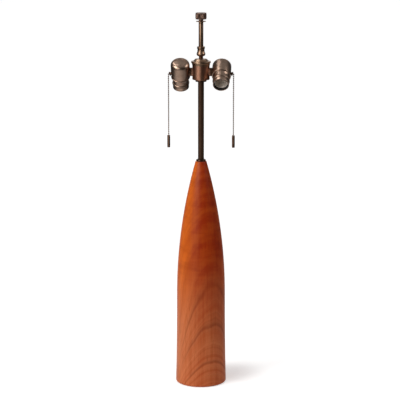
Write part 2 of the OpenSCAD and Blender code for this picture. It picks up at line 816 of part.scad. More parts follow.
// A small cylinder whose top holds the last bead
module chain_pull(side) {
  r = pull_d / 2;
  c = 0.5;
  top = bead - hanging_beads * chain_pitch;
  bottom = top - pull_h;
  color(bronze) at_chain(side) difference() {
    turned([[0, bottom], [r - c, bottom], [r, bottom + c], [r, top - c], [r - c, top], [0, top]]);
    translate([0, 0, top - 2 * bead - air_gap]) cylinder(r = bead + air_gap, h = 2 * bead + 1);
  }
}

felt_pad();
wood_column();
cord_bushing();
base_washer();
base_nut();
lamp_rod();
check_collar();
pole_tube();
seat_ring();
cluster_cup();
cluster_nut();
cluster_lid();
stem_nut();
riser_stem();
riser_coupling();
riser_rod();
shade_washer();
finial();
nipple_lock_nuts();
swivel_nuts();
splice_sleeves();
splice_wires();
swivel_nipple(-1);  // left_swivel_nipple
swivel_nipple(1);  // right_swivel_nipple
at_socket(-1) swivel_knuckle();  // left_swivel_knuckle
at_socket(1) swivel_knuckle();  // right_swivel_knuckle
at_socket(-1) socket_cap();  // left_socket_cap
at_socket(1) socket_cap();  // right_socket_cap
at_socket(-1) socket_shell();  // left_socket_shell
at_socket(1) socket_shell();  // right_socket_shell
at_socket(-1) socket_liner();  // left_socket_liner
at_socket(1) socket_liner();  // right_socket_liner
at_socket(-1) screw_shell();  // left_screw_shell
at_socket(1) screw_shell();  // right_screw_shell
at_socket(-1) socket_core();  // left_socket_core
at_socket(1) socket_core();  // right_socket_core
at_socket(-1) centre_contact();  // left_centre_contact
at_socket(1) centre_contact();  // right_centre_contact
at_socket(-1) terminal_screws();  // left_terminal_screws
at_socket(1) terminal_screws();  // right_terminal_screws
at_socket(-1) socket_leads();  // left_socket_leads
at_socket(1) socket_leads();  // right_socket_leads
at_socket(-1) lever_pin();  // left_lever_pin
at_socket(1) lever_pin();  // right_lever_pin
at_socket(-1) lever_spring();  // left_lever_spring
at_socket(1) lever_spring();  // right_lever_spring
at_socket(-1) switch_lever();  // left_switch_lever
at_socket(1) switch_lever();  // right_switch_lever
at_socket(-1) chain_guide();  // left_chain_guide
at_socket(1) chain_guide();  // right_chain_guide
at_socket(-1) inner_chain();  // left_inner_chain
at_socket(1) inner_chain();  // right_inner_chain
lip_bead(-1);  // left_lip_bead
lip_bead(1);  // right_lip_bead
hanging_chain(-1);  // left_hanging_chain
hanging_chain(1);  // right_hanging_chain
chain_pull(-1);  // left_chain_pull
chain_pull(1);  // right_chain_pull
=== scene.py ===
from math import atan2, cos, degrees, pi, radians, sin

import bmesh
import bpy
from mathutils import Matrix, Vector


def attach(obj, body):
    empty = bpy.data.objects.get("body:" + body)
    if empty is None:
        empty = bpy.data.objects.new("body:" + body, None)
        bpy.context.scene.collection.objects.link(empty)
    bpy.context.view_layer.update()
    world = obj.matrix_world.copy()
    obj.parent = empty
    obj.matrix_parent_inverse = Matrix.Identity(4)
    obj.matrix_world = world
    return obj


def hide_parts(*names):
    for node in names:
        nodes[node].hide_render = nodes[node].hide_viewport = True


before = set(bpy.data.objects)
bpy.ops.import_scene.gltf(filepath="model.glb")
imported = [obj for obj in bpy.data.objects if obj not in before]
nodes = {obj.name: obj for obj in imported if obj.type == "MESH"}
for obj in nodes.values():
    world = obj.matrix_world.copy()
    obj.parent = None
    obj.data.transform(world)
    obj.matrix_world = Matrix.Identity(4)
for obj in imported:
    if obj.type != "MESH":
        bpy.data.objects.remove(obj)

scene = bpy.context.scene
for name in ("Cube", "Light", "Camera"):  # what an empty Blender opens with
    if name in scene.objects:
        bpy.data.objects.remove(scene.objects[name])
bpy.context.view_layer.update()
scene.view_settings.view_transform = "Standard"

# The camera stands in front, a little towards the right socket, and looks down on the lamp
cameraSet = {
    "distance": 3.619, "height": 1.176, "around": 3, "down": 12.08, "pan": 0.033,
    "lens": 156.2, "film": 36, "clip": (0.1, 60),
}


def placeCamera(look):
    data = bpy.data.cameras.new("camera")
    data.lens = look["lens"]
    data.sensor_width = look["film"]
    data.clip_start, data.clip_end = look["clip"]
    camera = bpy.data.objects.new("camera", data)
    around = radians(look["around"])
    camera.location = (look["distance"] * sin(around), -look["distance"] * cos(around), look["height"])
    camera.rotation_euler = (radians(90 - look["down"]), 0, around + radians(look["pan"]))
    scene.collection.objects.link(camera)
    scene.camera = camera


placeCamera(cameraSet)
print("camera placed")


class Value:
    # a socket that takes part in plain arithmetic
    def __init__(self, tree, socket):
        self.tree = tree
        self.socket = socket

    def reckon(self, operation, *terms):
        node = self.tree.nodes.new("ShaderNodeMath")
        node.operation = operation
        for slot, term in zip(node.inputs, terms):
            if isinstance(term, Value):
                self.tree.links.new(term.socket, slot)
            else:
                slot.default_value = term
        return Value(self.tree, node.outputs[0])

    def __add__(self, other):
        return self.reckon("ADD", self, other)

    __radd__ = __add__

    def __sub__(self, other):
        return self.reckon("SUBTRACT", self, other)

    def __rsub__(self, other):
        return self.reckon("SUBTRACT", other, self)

    def __mul__(self, other):
        return self.reckon("MULTIPLY", self, other)

    __rmul__ = __mul__

    def __truediv__(self, other):
        return self.reckon("DIVIDE", self, other)

    def __rtruediv__(self, other):
        return self.reckon("DIVIDE", other, self)


class Board:
    # a node tree and the one way in which nodes are put into it
    def __init__(self, tree):
        self.tree = tree

    def node(self, kind, settings=None, inputs=None, output=0):
        made = self.tree.nodes.new("ShaderNode" + kind)
        for key, setting in (settings or {}).items():
            if key == "stops":
                self.setStops(made.color_ramp.elements, setting)
            else:
                setattr(made, key, setting)
        for key, item in (inputs or {}).items():
            if isinstance(item, Value):
                self.tree.links.new(item.socket, made.inputs[key])
            else:
                made.inputs[key].default_value = item
        return Value(self.tree, made.outputs[output])

    def setStops(self, elements, stops):
        while len(elements) < len(stops):
            elements.new(0.5)
        for element, (place, level) in zip(elements, stops):
            element.position = place
            element.color = (level, level, level, 1)

    def ease(self, value, low, high, start=0.0, end=1.0):
        settings = {"interpolation_type": "SMOOTHSTEP"}
        inputs = {"Value": value, "From Min": low, "From Max": high, "To Min": start, "To Max": end}
        return self.node("MapRange", settings, inputs)


class Finish(Board):
    # one material: its Principled shader and the nodes that vary it
    def __init__(self, name, fixed):
        self.material = bpy.data.materials.new(name)
        self.material.use_nodes = True
        super().__init__(self.material.node_tree)
        self.shader = self.tree.nodes["Principled BSDF"]
        for socket, value in fixed.items():
            self.shader.inputs[socket].default_value = value
        self.point = self.node("TexCoord", output="Object")

    def feed(self, socket, value):
        self.tree.links.new(value.socket, self.shader.inputs[socket])

    def stretch(self, shape):
        return self.node("VectorMath", {"operation": "MULTIPLY"}, {0: self.point, 1: shape})

    def noise(self, scale, detail, rough=0.5, point=None):
        inputs = {"Vector": point or self.point, "Scale": scale, "Detail": detail, "Roughness": rough}
        return self.node("TexNoise", None, inputs)

    def pattern(self, shape, detail, rough):
        # noise whose fineness differs in each direction
        return self.noise(1, detail, rough, self.stretch(shape))

    def noiseAlong(self, place, detail=2):
        return self.node("TexNoise", {"noise_dimensions": "1D"}, {"W": place, "Scale": 1, "Detail": detail})

    def mix(self, share, first, second, how="MIX"):
        first, second = [tone if isinstance(tone, Value) else (*tone, 1) for tone in (first, second)]
        settings = {"data_type": "RGBA", "blend_type": how}
        return self.node("Mix", settings, {0: share, 6: first, 7: second}, 2)

    def ramp(self, value, stops):
        return self.node("ValToRGB", {"stops": stops}, {0: value})

    def bump(self, height, distance, strength):
        inputs = {"Height": height, "Distance": distance, "Strength": strength}
        self.feed("Normal", self.node("Bump", None, inputs))


# Oiled teak. Painted shade makes it redder and deeper on its front right, mixed with its figure, and a
# painted reflection of the pale floor makes its foot pinker. Its year rings lie round a heart that leans
# across the column, so that arches stand on that side. "arches" are the rings with dark late wood, in metres
# from the heart, and "archEdge" is how one darkens and fades outwards. A "Seen" is the stretch over which a
# pattern comes in, and a "Dark" is how much it darkens: where it has two numbers, the first is added at the
# foot
teakLook = {
    "paleAndLit": (0.66, 0.13, 0.012), "deepAndShaded": (0.31, 0.025, 0.002), "shade": (0.62, 0.5, 0.42),
    "foot": (0.62, 0.185, 0.068), "footReflectionShaded": (0.43, 0.083, 0.021), "line": (0.15, 0.03, 0.01),
    "apex": 31, "near": 0.012, "lean": 0.055, "fade": 0.11,
    "drift": {"scale": 11, "shape": (1, 1, 0.6), "depth": 0.006},
    "ripple": {"scale": 60, "shape": (1, 1, 0.4), "depth": 0.0016},
    "arches": (0.0699, 0.0794, 0.0988), "rampScale": 8,
    "archEdge": ((-0.0022, 0), (-0.0003, 1), (0.0002, 0.7), (0.0007, 0)),
    "bands": 260, "fineRings": 900,
    "streak": ((150, 150, 5), 4, 0.6), "curl": ((14, 14, 60), 3, 0.55),
    "fibre": ((800, 800, 22), 3, 0.6), "pore": ((1100, 1100, 55), 2, 0.5),
    "archSeen": (0.3, 0.13), "floorReflectionSeen": (0.31, 0.1), "polishSeen": (0.38, 0.47),
    "shadedSideSeen": (0.1, 1.0), "legSeen": (0.1, 0.8, 0.3, 1), "figureSeen": (0.36, 0.64),
    "grainSeen": (0.36, 0.66), "fineSeen": (0.52, 0.7), "poreSeen": (0.58, 0.7),
    "fibreSeen": (0.5, 0.78), "curlSeen": (0.5, 0.75),
    "archDark": (0.42, 0.04), "fineDark": (0.06, 0.05), "poreDark": (0.26, 0.06),
    "fibreDark": 0.12, "curlDark": 0.3,
    "coat": 0.08, "polish": 0.2, "coatRough": 0.3, "specular": 0.08, "rough": 0.45,
    "rim": 0.3, "rimRough": 0.3, "bump": (0.0001, 0.4),
}


def ringDepth(finish, look, height):
    # how far a point lies from the heart, which is nearer the column's axis higher up
    falloff = finish.node("Math", {"operation": "EXPONENT"}, {0: height / -look["fade"]})
    aside = look["near"] + look["lean"] * falloff
    apex = radians(look["apex"])
    heart = finish.node("CombineXYZ", None, {"X": aside * -sin(apex), "Y": aside * cos(apex)})
    flat = finish.stretch((1, 1, 0))
    out = finish.node("VectorMath", {"operation": "SUBTRACT"}, {0: flat, 1: heart})
    reach = finish.node("VectorMath", {"operation": "LENGTH"}, {0: out}, "Value")
    drift, ripple = look["drift"], look["ripple"]
    slow = finish.noise(drift["scale"], 2, 0.5, finish.stretch(drift["shape"]))
    wave = finish.noise(ripple["scale"], 2, 0.5, finish.stretch(ripple["shape"]))
    return flat, reach + (slow - 0.5) * drift["depth"] + (wave - 0.5) * ripple["depth"]


def lateRings(finish, look, depth):
    stops, scale = [(0, 0)], look["rampScale"]
    for ring in look["arches"]:
        stops += [((ring + step) * scale, level) for step, level in look["archEdge"]]
    return finish.ramp(depth * scale, stops)


def darkening(low, strength):
    more, always = strength
    return low * more + always


def makeTeak(look):
    fixed = {"Coat Roughness": look["coatRough"], "Specular IOR Level": look["specular"],
             "Sheen Weight": look["rim"], "Sheen Roughness": look["rimRough"]}
    finish = Finish("oiledTeak", fixed)
    height = finish.node("SeparateXYZ", None, {"Vector": finish.point}, "Z")
    flat, depth = ringDepth(finish, look, height)
    low = finish.ease(height, *look["archSeen"])
    way = finish.node("VectorMath", {"operation": "NORMALIZE"}, {0: flat})
    apex = radians(look["apex"])
    towards = {0: way, 1: (sin(apex), -cos(apex), 0)}
    facing = finish.node("VectorMath", {"operation": "DOT_PRODUCT"}, towards, "Value")
    lateWood = lateRings(finish, look, depth)
    band = finish.noiseAlong(depth * look["bands"], 3)
    fine = finish.ease(finish.noiseAlong(depth * look["fineRings"]), *look["fineSeen"])
    streak = finish.pattern(*look["streak"])
    curl = finish.pattern(*look["curl"])
    fibre = finish.pattern(*look["fibre"])
    pore = finish.ease(finish.pattern(*look["pore"]), *look["poreSeen"])
    figure = streak * 0.3 + band * 0.3 + curl * 0.4
    # painted shade: the front right, away from the lamps, takes the deeper colour, mixed with the figure
    side = finish.ease(facing, *look["shadedSideSeen"])
    shadeAndFigure = side * 0.8 + finish.ease(figure, *look["figureSeen"]) * 0.3 - 0.05
    upper = finish.mix(shadeAndFigure, look["paleAndLit"], look["deepAndShaded"])
    grain = finish.ease(streak * 0.5 + band * 0.5, *look["grainSeen"])
    # painted reflection of the pale floor: the foot is pinker, and deeper on the painted shaded front right
    foot = finish.mix(side * 0.5 + grain * 0.5, look["foot"], look["footReflectionShaded"])
    tone = finish.mix(finish.ease(height, *look["floorReflectionSeen"]), upper, foot)
    shaded = finish.mix(1.0, tone, look["shade"], "MULTIPLY")
    tone = finish.mix(finish.ease(curl, *look["curlSeen"]) * (1 - low) * look["curlDark"], tone, shaded)
    legs = finish.ease(facing, *look["legSeen"])
    rings = lateWood * legs * darkening(low, look["archDark"]) + fine * darkening(low, look["fineDark"])
    tone = finish.mix(rings, tone, look["line"])
    dashes = finish.ease(fibre, *look["fibreSeen"]) * look["fibreDark"]
    dashes = dashes + pore * darkening(low, look["poreDark"])
    tone = finish.mix(dashes, tone, look["line"])
    finish.feed("Base Color", tone)
    finish.feed("Coat Weight", finish.ease(height, *look["polishSeen"], look["coat"], look["polish"]))
    finish.feed("Roughness", look["rough"] + pore * 0.2 + fibre * 0.08)
    finish.bump(0.5 - pore * 0.6 - lateWood * 0.25 + fibre * 0.2, *look["bump"])
    return finish.material


# Brass with a patina: cloudy brown, rubbed lighter, with fine lathe lines on the turned pieces
bronzeLooks = {
    "cupBronze": {"rubbed": (0.36, 0.19, 0.125), "patina": (0.22, 0.1, 0.062), "rough": 0.36},
    "lidBronze": {"rubbed": (0.38, 0.25, 0.165), "patina": (0.2, 0.12, 0.075), "rough": 0.3},
    "riserBronze": {"rubbed": (0.32, 0.2, 0.13), "patina": (0.17, 0.1, 0.062), "rough": 0.32},
    "socketBronze": {"rubbed": (0.41, 0.285, 0.215), "patina": (0.3, 0.205, 0.152), "rough": 0.27},
    "finialBronze": {"rubbed": (0.27, 0.17, 0.13), "patina": (0.14, 0.085, 0.064), "rough": 0.42},
    "chainBronze": {"rubbed": (0.24, 0.14, 0.095), "patina": (0.12, 0.065, 0.042), "rough": 0.36},
    "darkBronze": {"rubbed": (0.11, 0.06, 0.036), "patina": (0.05, 0.025, 0.015), "rough": 0.33},
    "poleBronze": {"rubbed": (0.07, 0.033, 0.016), "patina": (0.05, 0.022, 0.01), "rough": 0.58,
                   "metal": 0.7},
}
patina = {
    "cloud": (75, 4, 0.6), "speck": (900, 3, 0.6), "lathe": 2,
    "rubbedSeen": (0.36, 0.64), "bump": (0.00002, 0.1),
}


def makeBronze(name, look):
    finish = Finish(name, {"Metallic": look.get("metal", 1.0)})
    along = finish.node("Attribute", {"attribute_name": "along"}, None, "Fac")
    cloud = finish.noise(*patina["cloud"])
    speck = finish.noise(*patina["speck"])
    lathe = finish.noiseAlong(along * patina["lathe"])
    rubbed = finish.ease(cloud * 0.5 + lathe * 0.3 + speck * 0.2, *patina["rubbedSeen"])
    finish.feed("Base Color", finish.mix(rubbed, look["patina"], look["rubbed"]))
    finish.feed("Roughness", look["rough"] + (1 - rubbed) * 0.05 + (speck - 0.5) * 0.03)
    finish.bump(lathe * 0.7 + speck * 0.3, *patina["bump"])
    return finish.material


# The plain finishes of the inner and smaller pieces. "scale" is how fine their grain is
plainLooks = {
    "greenFelt": {"fixed": {"Metallic": 0.0, "Sheen Weight": 0.35},
                  "a": (0.035, 0.05, 0.03), "b": (0.07, 0.095, 0.06),
                  "scale": 1400, "rough": (0.9, 1.0), "bump": 0.0003},
    "blackRubber": {"fixed": {"Metallic": 0.0}, "a": (0.012, 0.011, 0.01), "b": (0.028, 0.026, 0.024),
                    "scale": 500, "rough": (0.45, 0.6), "bump": 0.00003},
    "zincPlate": {"fixed": {"Metallic": 1.0}, "a": (0.42, 0.42, 0.41), "b": (0.62, 0.62, 0.6),
                  "scale": 160, "rough": (0.28, 0.42), "bump": 0.00002},
    "plainBrass": {"fixed": {"Metallic": 1.0}, "a": (0.48, 0.31, 0.11), "b": (0.68, 0.48, 0.2),
                   "scale": 220, "rough": (0.24, 0.38), "bump": 0.00002},
    "nickelShell": {"fixed": {"Metallic": 0.6}, "a": (0.62, 0.55, 0.48), "b": (0.78, 0.7, 0.62),
                    "scale": 260, "rough": (0.45, 0.58), "bump": 0.00002},
    "greyPorcelain": {"fixed": {"Metallic": 0.0}, "a": (0.5, 0.46, 0.38), "b": (0.62, 0.58, 0.5),
                      "scale": 420, "rough": (0.5, 0.7), "bump": 0.00004},
    "blackFibre": {"fixed": {"Metallic": 0.0}, "a": (0.008, 0.006, 0.005), "b": (0.022, 0.016, 0.013),
                   "scale": 800, "rough": (0.6, 0.8), "bump": 0.00005},
    "wireCover": {"fixed": {"Metallic": 0.0}, "a": (0.6, 0.57, 0.48), "b": (0.72, 0.69, 0.6),
                  "scale": 300, "rough": (0.4, 0.5), "bump": 0.00002},
}
mottle = {"wider": 9, "seen": (0.38, 0.62), "strength": 0.6}


def makePlain(name, look):
    finish = Finish(name, look["fixed"])
    grain = finish.noise(look["scale"], 4, 0.6)
    cloud = finish.noise(look["scale"] / mottle["wider"], 2)
    share = finish.ease(grain * 0.6 + cloud * 0.4, *mottle["seen"])
    finish.feed("Base Color", finish.mix(share, look["a"], look["b"]))
    low, high = look["rough"]
    finish.feed("Roughness", low + grain * (high - low))
    finish.bump(grain, look["bump"], mottle["strength"])
    return finish.material


finishes = {"oiledTeak": makeTeak(teakLook)}
for name, look in bronzeLooks.items():
    finishes[name] = makeBronze(name, look)
for name, look in plainLooks.items():
    finishes[name] = makePlain(name, look)
print("finishes made")

# Pieces are drawn in millimetres, and brought to metres when they are kept
millimetre = 0.001
weld = 0.001  # points this close become one


class Pen:
    # draws half the section of a turned piece, out from its axis and along it; "soft" rounds a corner
    def __init__(self, out, along):
        self.mesh = bmesh.new()
        self.first = self.tip = self.mesh.verts.new((out, 0, along))
        self.soft = {}

    def to(self, out, along, soft=0):
        self.tip = bmesh.ops.extrude_vert_indiv(self.mesh, verts=[self.tip])["verts"][0]
        self.tip.co = (out, 0, along)
        if soft:
            self.soft.setdefault(soft, []).append(self.tip)
        return self

    def arc(self, out, along, angle, steps=8):
        # swings the tip round a centre, clockwise when the axis is on the left
        swung = bmesh.ops.spin(self.mesh, geom=[self.tip], cent=(out, 0, along), axis=(0, 1, 0),
                               angle=radians(angle), steps=steps, use_duplicate=False)
        self.tip = swung["geom_last"][0]
        return self

    def close(self):
        self.mesh.edges.new((self.tip, self.first))
        return self

    def turn(self, steps=96):
        for size, corners in self.soft.items():
            bmesh.ops.bevel(self.mesh, geom=corners, offset=size, offset_type="OFFSET", segments=3,
                            profile=0.5, affect="VERTICES", material=-1)
        section = self.mesh.verts[:] + self.mesh.edges[:]
        bmesh.ops.spin(self.mesh, geom=section, cent=(0, 0, 0), axis=(0, 0, 1), angle=2 * pi, steps=steps,
                       use_merge=True, use_duplicate=False)
        bmesh.ops.remove_doubles(self.mesh, verts=self.mesh.verts, dist=weld)
        return self.mesh


def cutThread(profile, pitch, low, high, steps=36):
    # winds one pitch of a thread's section up the axis and trims both ends square
    spare = 2  # turns past each end
    mesh = bmesh.new()
    verts = [mesh.verts.new((out, 0, low - spare * pitch + along)) for out, along in profile]
    edges = [mesh.edges.new(pair) for pair in zip(verts, verts[1:])]
    turns = int((high - low) / pitch) + 2 * spare
    bmesh.ops.spin(mesh, geom=verts + edges, cent=(0, 0, 0), axis=(0, 0, 1), dvec=(0, 0, pitch / steps),
                   angle=2 * pi * turns, steps=steps * turns, use_duplicate=False)
    bmesh.ops.remove_doubles(mesh, verts=mesh.verts, dist=weld)
    for level, side in ((low, -1), (high, 1)):
        everything = mesh.verts[:] + mesh.edges[:] + mesh.faces[:]
        bmesh.ops.bisect_plane(mesh, geom=everything, plane_co=(0, 0, level), plane_no=(0, 0, side),
                               clear_outer=True, dist=weld / 10)
    return mesh


def cutScrew(root, crest, pitch, low, high):
    # a solid screw with a plain pointed thread
    mesh = cutThread([(root, 0), (crest, pitch / 2), (root, pitch)], pitch, low, high)
    bmesh.ops.holes_fill(mesh, edges=[edge for edge in mesh.edges if edge.is_boundary], sides=0)
    return mesh


def join(first, *others):
    for other in others:
        data = bpy.data.meshes.new("part")
        other.to_mesh(data)
        other.free()
        first.from_mesh(data)
        bpy.data.meshes.remove(data)
    return first


def keep(mesh, name, body, stands, finish, place=Matrix.Identity(4), crease=38):
    # brings a mesh to its place in metres, hangs it on its body and says which nodes it stands for
    layer = mesh.verts.layers.float.new("along")
    for vert in mesh.verts:
        vert[layer] = vert.co.z
    bmesh.ops.transform(mesh, matrix=Matrix.Scale(millimetre, 4) @ place, verts=mesh.verts)
    bmesh.ops.recalc_face_normals(mesh, faces=mesh.faces)
    data = bpy.data.meshes.new(name)
    mesh.to_mesh(data)
    mesh.free()
    data.shade_smooth()
    data.set_sharp_from_angle(angle=radians(crease))
    data.materials.append(finishes[finish])
    piece = bpy.data.objects.new(name, data)
    scene.collection.objects.link(piece)
    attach(piece, body)
    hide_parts(*stands)


def repaint(carried, side=""):
    # gives the nodes that keep their own shape a finish
    for finish, names in carried.items():
        for name in names:
            for place in nodes[side + name].material_slots:
                place.material = finishes[finish]


# The inlet for the cord, at the back of the column
bushing = {"body": 5, "flange": 7, "bore": 3.5, "mouth": 1, "seat": 52.1, "inner": 32, "flangeHeight": 1.5,
           "height": 13}


def makeBushing(size):
    # drawn along its bore, then laid down and turned to the back of the column
    bore, mouth = size["bore"], size["mouth"]
    top = size["seat"] + size["flangeHeight"]
    pen = Pen(bore, size["inner"]).to(size["body"], size["inner"], 0.4).to(size["body"], size["seat"])
    pen.to(size["flange"], size["seat"], 0.2).to(size["flange"], top, 0.7)
    pen.to(bore + mouth, top, 0.3).to(bore, top - mouth, 0.3).close()
    place = Matrix.Translation((0, 0, size["height"])) @ Matrix.Rotation(radians(-90), 4, "X")
    keep(pen.turn(64), "cordInlet", "lamp", ["cord_bushing"], "blackRubber", place)


# The nodes of column, pole and cluster that stay as they are, by finish
lampFinishes = {
    "oiledTeak": ["wood_column"], "greenFelt": ["felt_pad"], "poleBronze": ["pole_tube"],
    "darkBronze": ["check_collar"], "cupBronze": ["cluster_cup"],
    "zincPlate": ["base_washer", "base_nut", "lamp_rod", "cluster_nut", "stem_nut", "nipple_lock_nuts",
                  "swivel_nuts"],
    "plainBrass": ["splice_sleeves"], "wireCover": ["splice_wires"],
}

makeBushing(bushing)
repaint(lampFinishes)
print("column and pole made")

# Cluster: seat ring and lid
seatRing = {"radius": 11.65, "low": 656.2, "high": 660.5, "bore": 6.4, "step": 659.0, "rod": 5.2}


def makeSeatRing(size):
    low, high = size["low"], size["high"]
    pen = Pen(size["bore"], low).to(size["radius"], low, 0.7).to(size["radius"], high, 0.5)
    pen.to(size["rod"], high).to(size["rod"], size["step"]).to(size["bore"], size["step"]).close()
    keep(pen.turn(), "seatRing", "lamp", ["seat_ring"], "darkBronze")


lid = {"rim": 20.65, "neck": 18.6, "low": 690.5, "band": 1, "cove": 4.2, "rimLow": 5.4, "rimTop": 699.6,
       "shoulder": 3.2, "dome": 704.4, "flat": 11.2, "spigot": 16.7, "spigotLong": 3.5, "inside": 15.3,
       "hole": 4.75, "wall": 1.4, "wallCorner": 0.5}


def makeLid(size):
    low, neck, rimTop, dome = size["low"], size["neck"], size["rimTop"], size["dome"]
    foot, flare = low - size["spigotLong"], size["rim"] - neck
    pen = Pen(size["inside"], foot).to(size["spigot"], foot).to(size["spigot"], low)
    pen.to(neck, low, 0.25).to(neck, low + size["band"])
    for angle in range(15, 91, 15):
        turn = radians(angle)
        pen.to(neck + flare * (1 - cos(turn)), low + size["band"] + size["cove"] * sin(turn))
    shoulder = size["rim"] - size["shoulder"]
    pen.to(size["rim"], low + size["rimLow"]).to(size["rim"], rimTop, 0.7).to(shoulder, rimTop, 0.5)
    for angle in range(20, 181, 20):
        up = (1 - cos(radians(angle))) / 2
        pen.to(shoulder - (shoulder - size["flat"]) * angle / 180, rimTop + (dome - rimTop) * up)
    under = dome - size["wall"]
    pen.to(size["hole"], dome, 0.3).to(size["hole"], under).to(size["flat"] - size["wallCorner"], under)
    pen.to(size["inside"], rimTop - size["wall"]).close()
    keep(pen.turn(120), "clusterLid", "lamp", ["cluster_lid"], "lidBronze")


makeSeatRing(seatRing)
makeLid(lid)

# Riser: threaded stem, coupling, rod with its stud, washer and finial
stem = {"crest": 4.7, "root": 4.25, "pitch": 0.94, "low": 698.9, "high": 718}


def makeStem(size):
    screw = cutScrew(size["root"], size["crest"], size["pitch"], size["low"], size["high"])
    keep(screw, "riserStem", "lamp", ["riser_stem"], "riserBronze")


coupling = {"low": 710.1, "high": 730.1, "stem": 4.75, "rod": 5.0, "seat": 722.2, "foot": 6.58, "ball": 4.7,
            "ballHeight": 714.3, "ballSwing": 92, "neck": 8.1, "neckUp": 8.2, "waistLow": 7.45,
            "waistUp": 10.4, "waist": 7.35, "flange": 8.2, "flangeHigh": 4.8, "ledge": 0.4}


def makeCoupling(size):
    low, high, ball = size["low"], size["high"], size["ball"]
    flangeLow = high - size["flangeHigh"]
    pen = Pen(size["stem"], low).to(size["foot"], low).arc(ball, size["ballHeight"], -size["ballSwing"], 10)
    pen.to(size["neck"], low + size["neckUp"]).to(size["waistLow"], low + size["waistUp"], 1.2)
    pen.to(size["waist"], flangeLow - size["ledge"], 0.2).to(size["flange"], flangeLow, 0.35)
    pen.to(size["flange"], high, 0.5).to(size["rod"], high, 0.2).to(size["rod"], size["seat"])
    pen.to(size["stem"], size["seat"]).close()
    keep(pen.turn(), "riserCoupling", "lamp", ["riser_coupling"], "riserBronze")


riser = {"radius": 4.95, "low": 722.3, "high": 782, "groove": 777.2, "grooveWide": 0.7, "grooveDeep": 0.35,
         "grooveSlope": 0.2, "stud": 3.15, "studTop": 794, "studSunk": 1, "threadDeep": 0.4, "pitch": 0.94}


def makeRiser(size):
    radius, high, groove, slope = size["radius"], size["high"], size["groove"], size["grooveSlope"]
    floor, grooveTop = radius - size["grooveDeep"], groove + size["grooveWide"]
    pen = Pen(0, size["low"]).to(radius, size["low"], 0.3).to(radius, groove, 0.1).to(floor, groove + slope)
    pen.to(floor, grooveTop - slope).to(radius, grooveTop, 0.1).to(radius, high, 0.2).to(0, high)
    root = size["stud"] - size["threadDeep"]
    screw = cutScrew(root, size["stud"], size["pitch"], high - size["studSunk"], size["studTop"])
    keep(join(pen.turn(), screw), "riserRod", "lamp", ["riser_rod"], "riserBronze")


washer = {"radius": 10.25, "bore": 3.2, "low": 782, "high": 783.4}


def makeWasher(size):
    radius, bore, low, high = size["radius"], size["bore"], size["low"], size["high"]
    pen = Pen(bore, low).to(radius, low, 0.4).to(radius, high, 0.4).to(bore, high, 0.2).close()
    keep(pen.turn(), "shadeWasher", "lamp", ["shade_washer"], "riserBronze")


finial = {"neck": 4.7, "low": 783.4, "knob": 787.3, "high": 800.6, "radius": 11.7, "bore": 3.23,
          "boreTop": 795, "bandIn": 0.3, "grooveIn": 0.7, "lowBand": 1.5, "lowGroove": 1.8, "knurlLow": 2.2,
          "knurlHigh": 2.4, "highGroove": 2, "highBand": 1.7, "ridges": 72, "ridgeDepth": 0.3, "slack": 0.1}


def makeFinial(size):
    # a knob with a plain band and a groove at both ends, and straight ridges between
    radius, knob, high, slack = size["radius"], size["knob"], size["high"], size["slack"]
    band, groove = radius - size["bandIn"], radius - size["grooveIn"]
    knurlLow, knurlHigh = knob + size["knurlLow"], high - size["knurlHigh"]
    pen = Pen(0, size["boreTop"]).to(size["bore"], size["boreTop"]).to(size["bore"], size["low"])
    pen.to(size["neck"], size["low"], 0.3).to(size["neck"], knob).to(band, knob, 0.5)
    pen.to(band, knob + size["lowBand"], 0.2).to(groove, knob + size["lowGroove"]).to(radius, knurlLow)
    pen.to(radius, knurlHigh).to(groove, high - size["highGroove"]).to(band, high - size["highBand"], 0.2)
    pen.to(band, high, 0.6).to(0, high)
    mesh = pen.turn(2 * size["ridges"])
    for vert in mesh.verts:
        step = round(atan2(vert.co.y, vert.co.x) / pi * size["ridges"])
        if knurlLow - slack < vert.co.z < knurlHigh + slack and step % 2:
            vert.co.xy *= 1 - size["ridgeDepth"] / radius
    keep(mesh, "finialKnob", "finial", ["finial"], "finialBronze", crease=50)


makeStem(stem)
makeCoupling(coupling)
makeRiser(riser)
makeWasher(washer)
makeFinial(finial)
print("cluster and riser made")

# Where each socket stands: its way out along the arms and the tilt of its mouth
sides = {"left": {"way": -1, "tilt": 30}, "right": {"way": 1, "tilt": -56}}
arms = {"out": 43.3, "height": 676.5, "chainOut": 25.4, "lipDrop": 6.782, "guideTilt": 22}


def socketPlace(side):
    way, tilt = sides[side]["way"], radians(sides[side]["tilt"])
    spot = Matrix.Translation((way * arms["out"], 0, arms["height"]))
    return spot @ Matrix.Rotation(tilt, 4, "X") @ Matrix.Diagonal((way, 1, 1, 1))


def guidePlace(side):
    lip = Matrix.Translation((arms["chainOut"], 0, -arms["lipDrop"]))
    return socketPlace(side) @ lip @ Matrix.Rotation(radians(90 + arms["guideTilt"]), 4, "Y")


def chainPlace(side):
    # where the chain leaves the bell's mouth, upright whatever the tilt
    way, tilt, drop = sides[side]["way"], radians(sides[side]["tilt"]), arms["lipDrop"]
    out = way * (arms["out"] + arms["chainOut"])
    return Matrix.Translation((out, drop * sin(tilt), arms["height"] - drop * cos(tilt)))


def keepBeside(mesh, side, name, body, node, finish, place, crease=38):
    keep(mesh, side + name, side + body, [side + node], finish, place, crease)


# Sockets, drawn upright round their own axis with the arms' height at zero and the mouth below
cap = {"flat": 10.3, "rimGroove": 0.5, "rimDeep": 0.8, "shoulderOut": 11.2, "shoulderHeight": 17.2,
       "radius": 20, "top": 26, "taper": -2, "skirt": 19.0, "skirtHigh": 3.2, "skirtEnd": -14,
       "skirtInside": 3, "roll": 1.1, "rollIn": 0.1, "wall": 0.9}


